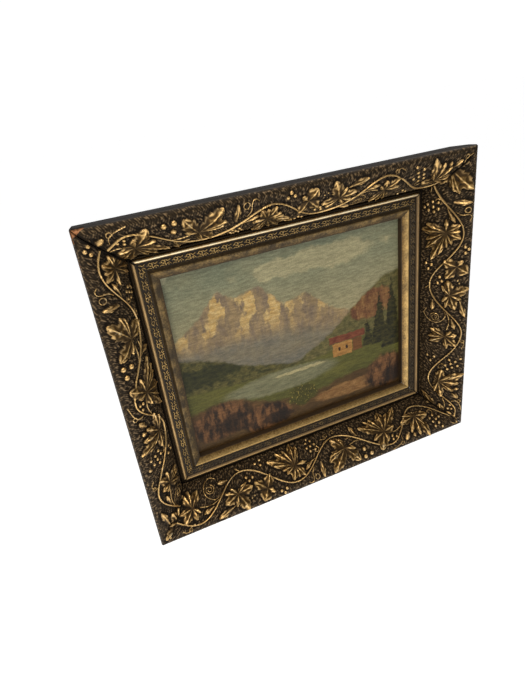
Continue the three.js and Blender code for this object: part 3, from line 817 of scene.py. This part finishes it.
def worn_leaf():
    """Rubbed gold leaf over a dark ground, with painted highlight where the liner stands up and painted
    shade in its hollows.
    """
    material, nodes, shader = new_finish("worn_gold_leaf")
    place = nodes.place()
    gilded, shade_and_dirt, _, plain = read_finish(nodes)
    cloud = nodes.noise(place, 90.0)
    fine = nodes.noise(place, 500.0, detail=2.0)
    worn = (gilded + (cloud - 0.5) * 0.9 + (fine - 0.5) * 0.35).band(0.25, 1.1)
    dark = nodes.mix(fine, (0.02, 0.014, 0.008), (0.07, 0.05, 0.026))
    # Painted highlight and shade: the gold lighter where the liner stands up and darker where it sinks.
    brightened = (shade_and_dirt + (fine - 0.5) * 0.45).band(0.35, 0.85)
    gold = nodes.mix(brightened, (0.14, 0.078, 0.022), (0.58, 0.385, 0.145))
    color = nodes.mix(worn, dark, gold)
    # Painted shade: the deepest hollows darkened nearly to black.
    color = nodes.mix((1 - shade_and_dirt.band(0.1, 0.4)) * 0.75, color, (0.01, 0.007, 0.004))
    side = nodes.mix(cloud, (0.03, 0.018, 0.01), (0.06, 0.034, 0.018))
    color = nodes.mix(plain, color, side)
    metal = (0.25 + worn * 0.55) * (1 - plain * 0.8)
    rough = 0.48 - worn * 0.1 + (fine - 0.5) * 0.3
    grain = nodes.add("ShaderNodeBump", {}, {"Strength": 0.3, "Distance": 0.0005, "Height": fine})
    connect(nodes, shader, Base_Color=color, Metallic=metal, Roughness=rough, Normal=grain)
    shader.inputs["Specular IOR Level"].default_value = 0.25
    return material


leaf_finish = worn_leaf()
for piece in liners:
    piece.data.materials.append(leaf_finish)

# ------------------------------------------------------------------ the painting
# A thin wooden panel held in the liner's rebate, painted in oils with an alpine
# valley and varnished.


def pigment(red, green, blue):
    """A colour given on the 0 to 255 scale, as light."""
    return tuple(((part / 255 + 0.055) / 1.055) ** 2.4 for part in (red, green, blue))


def painted_valley(nodes, place):
    """A lake under sunlit mountains, a hut and firs, from the far sky forwards."""
    sight_width = outer_width - 2 * SIGHT_EDGE * MILLIMETRE
    sight_height = outer_height - 2 * SIGHT_EDGE * MILLIMETRE
    wander = {"Vector": place, "Scale": 150.0, "Detail": 3.0}
    brush = nodes.add("ShaderNodeTexNoise", {}, wander, output=1)
    sway = nodes.add("ShaderNodeVectorMath", {"operation": "SUBTRACT"}, {0: brush, 1: (0.5, 0.5, 0.5)})
    sway = nodes.add("ShaderNodeVectorMath", {"operation": "SCALE"}, {0: sway, "Scale": 0.005})
    loose = nodes.add("ShaderNodeVectorMath", {"operation": "ADD"}, {0: place, 1: sway})
    parts = nodes.add("ShaderNodeSeparateXYZ", {}, {"Vector": loose}).link.node
    x = (Socket(nodes.tree, parts.outputs[0]) - picture_middle.x) / sight_width + 0.5
    y = (Socket(nodes.tree, parts.outputs[2]) - picture_middle.z) / sight_height + 0.5

    def strokes(scale, stretch=(1.0, 1.0, 1.0)):
        drawn = nodes.add("ShaderNodeMapping", {}, {"Vector": loose, "Scale": stretch})
        return nodes.noise(drawn, scale, detail=4.0, roughness=0.6)

    def below(heights, rough, soft=0.012):
        """1 under an outline whose heights are given from left to right."""
        stops = [(position, (height,) * 3) for position, height in heights]
        line = nodes.add("ShaderNodeValToRGB", {"stops": stops}, {"Fac": x})
        return (line + (strokes(60.0) - 0.5) * rough - y).band(-soft, soft)

    def spot(centre_x, centre_y, width, height, rough=0.9, scale=120.0):
        away = (((x - centre_x) / width) ** 2 + ((y - centre_y) / height) ** 2) ** 0.5
        return (1.0 - away + (strokes(scale) - 0.5) * rough).band(0.0, 0.3)

    def block(left, right, bottom, top):
        sides = (x - left).band(0, 0.004) * (right - x).band(0, 0.004)
        return sides * (y - bottom).band(0, 0.004) * (top - y).band(0, 0.004)

    def wash(share, color, first, second, texture):
        return nodes.mix(share, color, nodes.mix(texture, first, second))

    slow = strokes(14.0, (1.0, 1.0, 2.2)).band(0.3, 0.7)
    quick = strokes(120.0, (1.0, 1.0, 1.6)).band(0.3, 0.7)
    slanted = strokes(70.0, (2.0, 1.0, 0.7)).band(0.35, 0.65)

    # The sky: grey-green aloft, cream towards the peaks, with drawn-out cloud.
    color = nodes.mix(y.band(0.5, 1.0), pigment(176, 170, 140), pigment(132, 142, 126))
    color = wash(slow * 0.5, color, pigment(150, 152, 126), pigment(170, 168, 142), quick)
    cloud = spot(0.62, 0.9, 0.34, 0.07, rough=1.4, scale=40.0)
    color = nodes.mix(cloud * 0.6, color, pigment(196, 190, 158))

    # Far peaks, sunlit on their right, over a bank of blue haze.
    peaks = [(0.0, 0.66), (0.1, 0.74), (0.2, 0.86), (0.26, 0.8), (0.36, 0.84),
             (0.46, 0.7), (0.56, 0.73), (0.68, 0.6), (0.84, 0.52), (1.0, 0.5)]
    far = below(peaks, rough=0.05)
    color = wash(far, color, pigment(138, 124, 112), pigment(168, 148, 118), slanted)
    lit = strokes(34.0, (1.6, 1.0, 0.8)).band(0.48, 0.58) * (y - 0.5).band(0.0, 0.2)
    color = wash(far * lit, color, pigment(206, 172, 112), pigment(226, 202, 152), quick)
    haze = below([(0.0, 0.58), (0.4, 0.56), (0.7, 0.5), (1.0, 0.46)], rough=0.08, soft=0.05)
    color = wash(haze * 0.8, color, pigment(112, 118, 118), pigment(134, 130, 116), slow)

    # Green slopes on both sides, with bare red earth on the right one.
    rising = [(0.0, 0.3), (0.5, 0.36), (0.66, 0.46), (0.8, 0.6), (0.92, 0.7), (1.0, 0.72)]
    right_slope = below(rising, rough=0.03)
    color = wash(right_slope, color, pigment(84, 86, 54), pigment(126, 118, 78), quick)
    earth = spot(0.86, 0.56, 0.12, 0.1, rough=1.2, scale=60.0)
    color = wash(earth * right_slope, color, pigment(112, 74, 54), pigment(158, 120, 80), slanted)
    falling = [(0.0, 0.56), (0.12, 0.52), (0.24, 0.44), (0.4, 0.38), (0.6, 0.3), (1.0, 0.3)]
    left_slope = below(falling, rough=0.03)
    color = wash(left_slope, color, pigment(58, 62, 36), pigment(112, 106, 62), quick)
    woods = spot(0.1, 0.44, 0.16, 0.07, rough=1.5, scale=90.0)
    color = wash(woods * left_slope, color, pigment(42, 46, 28), pigment(68, 70, 38), quick)

    # The meadow, bright where the sun falls, and the lake in the middle.
    meadow = below([(0.0, 0.36), (0.3, 0.33), (0.6, 0.34), (1.0, 0.42)], rough=0.02)
    grass = strokes(50.0, (0.5, 1.0, 2.0))
    color = wash(meadow, color, pigment(66, 74, 36), pigment(122, 120, 62), grass)
    lake = spot(0.42, 0.27, 0.3, 0.075, rough=0.25, scale=30.0)
    ripples = strokes(40.0, (0.3, 1.0, 4.0))
    color = wash(lake, color, pigment(104, 110, 92), pigment(150, 150, 122), ripples)
    color = nodes.mix(spot(0.5, 0.3, 0.14, 0.012) * 0.8, color, pigment(196, 188, 150))

    # A hut with a red roof on the far shore, and firs beside it.
    wall = block(0.66, 0.76, 0.3, 0.385)
    color = nodes.mix(wall, color, nodes.mix(quick, pigment(170, 122, 66), pigment(196, 152, 92)))
    gable = block(0.76, 0.81, 0.305, 0.385)
    color = nodes.mix(gable, color, pigment(120, 80, 50))
    roof = block(0.645, 0.825, 0.385, 0.43)
    color = nodes.mix(roof, color, nodes.mix(quick, pigment(116, 60, 46), pigment(142, 84, 62)))
    color = nodes.mix(block(0.69, 0.705, 0.335, 0.36), color, pigment(52, 36, 26))
    color = nodes.mix(block(0.725, 0.74, 0.335, 0.36), color, pigment(52, 36, 26))
    firs = ((0.9, 0.3, 0.34, 0.05), (0.965, 0.26, 0.42, 0.06), (0.84, 0.31, 0.2, 0.035))
    for centre_x, foot, tall, wide in firs:
        taper = (foot + tall - y) / tall
        trunk_side = ((x - centre_x) ** 2) ** 0.5
        fir = (taper * wide - trunk_side + (strokes(160.0) - 0.5) * 0.05).band(0.0, 0.008)
        fir = fir * (y - foot).band(0, 0.01)
        color = wash(fir, color, pigment(30, 32, 22), pigment(74, 72, 38), quick)

    # The near bank: brown rocks, a bush in flower and a worn path.
    shore = [(0.0, 0.24), (0.18, 0.26), (0.34, 0.17), (0.5, 0.12), (0.7, 0.16), (1.0, 0.2)]
    bank = below(shore, rough=0.05)
    color = wash(bank, color, pigment(62, 48, 30), pigment(112, 86, 52), strokes(60.0, (0.6, 1.0, 1.8)))
    path = spot(0.74, 0.08, 0.22, 0.05, rough=0.7, scale=40.0)
    color = wash(path, color, pigment(134, 96, 60), pigment(164, 128, 84), quick)
    rocks = ((0.13, 0.15, 0.17, 0.13), (0.32, 0.08, 0.16, 0.09), (0.92, 0.11, 0.13, 0.13))
    for rock_x, rock_y, wide, tall in rocks:
        rock = spot(rock_x, rock_y, wide, tall, rough=0.7, scale=26.0)
        color = wash(rock, color, pigment(46, 34, 26), pigment(138, 98, 66), slanted)
        shade = spot(rock_x + wide * 0.35, rock_y - tall * 0.3, wide * 0.55, tall * 0.5)
        color = nodes.mix(shade * 0.8, color, pigment(38, 28, 22))
    bush = spot(0.5, 0.14, 0.08, 0.08, rough=1.2, scale=110.0)
    color = wash(bush, color, pigment(48, 52, 28), pigment(98, 96, 42), strokes(220.0))
    bloom = strokes(420.0).band(0.6, 0.66) * bush
    color = nodes.mix(bloom, color, pigment(196, 176, 92))
    brightened = spot(0.0, 1.0, 0.035, 0.05, rough=0.5)
    color = nodes.mix(brightened * 0.7, color, pigment(196, 196, 172))
    return color


def oil_painting():
    """Brushed oils with an aged varnish in front, and bare wood behind."""
    material, nodes, shader = new_finish("oil_painting")
    place = nodes.place()
    depth = nodes.add("ShaderNodeSeparateXYZ", {}, {"Vector": place}, output=1)
    color = painted_valley(nodes, place)
    aged = nodes.mix(nodes.noise(place, 9.0), (0.56, 0.53, 0.43), (0.76, 0.72, 0.61))
    color = nodes.mix(1.0, color, aged, blend="MULTIPLY")
    slanting = {"Vector": place, "Rotation": (0, 0.35, 0), "Scale": (0.35, 1, 1.6)}
    stroked = nodes.add("ShaderNodeMapping", {}, slanting)
    drag = nodes.noise(stroked, 260.0, detail=4.0, roughness=0.65).band(0.3, 0.7)
    streaks = nodes.mix(drag, (0.22, 0.22, 0.22), (0.78, 0.78, 0.78))
    color = nodes.mix(0.4, color, streaks, blend="OVERLAY")
    grain = nodes.noise(place, 700.0, detail=2.0)
    weave = nodes.mix(grain.band(0.3, 0.7), (0.2, 0.2, 0.2), (0.8, 0.8, 0.8))
    color = nodes.mix(0.22, color, weave, blend="OVERLAY")
    wood = nodes.mix(nodes.noise(place, 30.0), (0.12, 0.07, 0.035), (0.2, 0.12, 0.06))
    back = (depth - (-FRAME_DEPTH + SIGHT_BACK + 1.0) * MILLIMETRE).over(0.0)
    color = nodes.mix(back, color, wood)
    ridges = drag * 0.6 + nodes.noise(place, 500.0, detail=3.0) * 0.4
    relief = nodes.add("ShaderNodeBump", {}, {"Strength": 0.5, "Distance": 0.0006, "Height": ridges})
    connect(nodes, shader, Base_Color=color, Normal=relief)
    shader.inputs["Roughness"].default_value = 0.5
    shader.inputs["Specular IOR Level"].default_value = 0.2
    return material


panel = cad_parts["painted_panel"]
panel.data.materials.clear()
panel.data.materials.append(oil_painting())
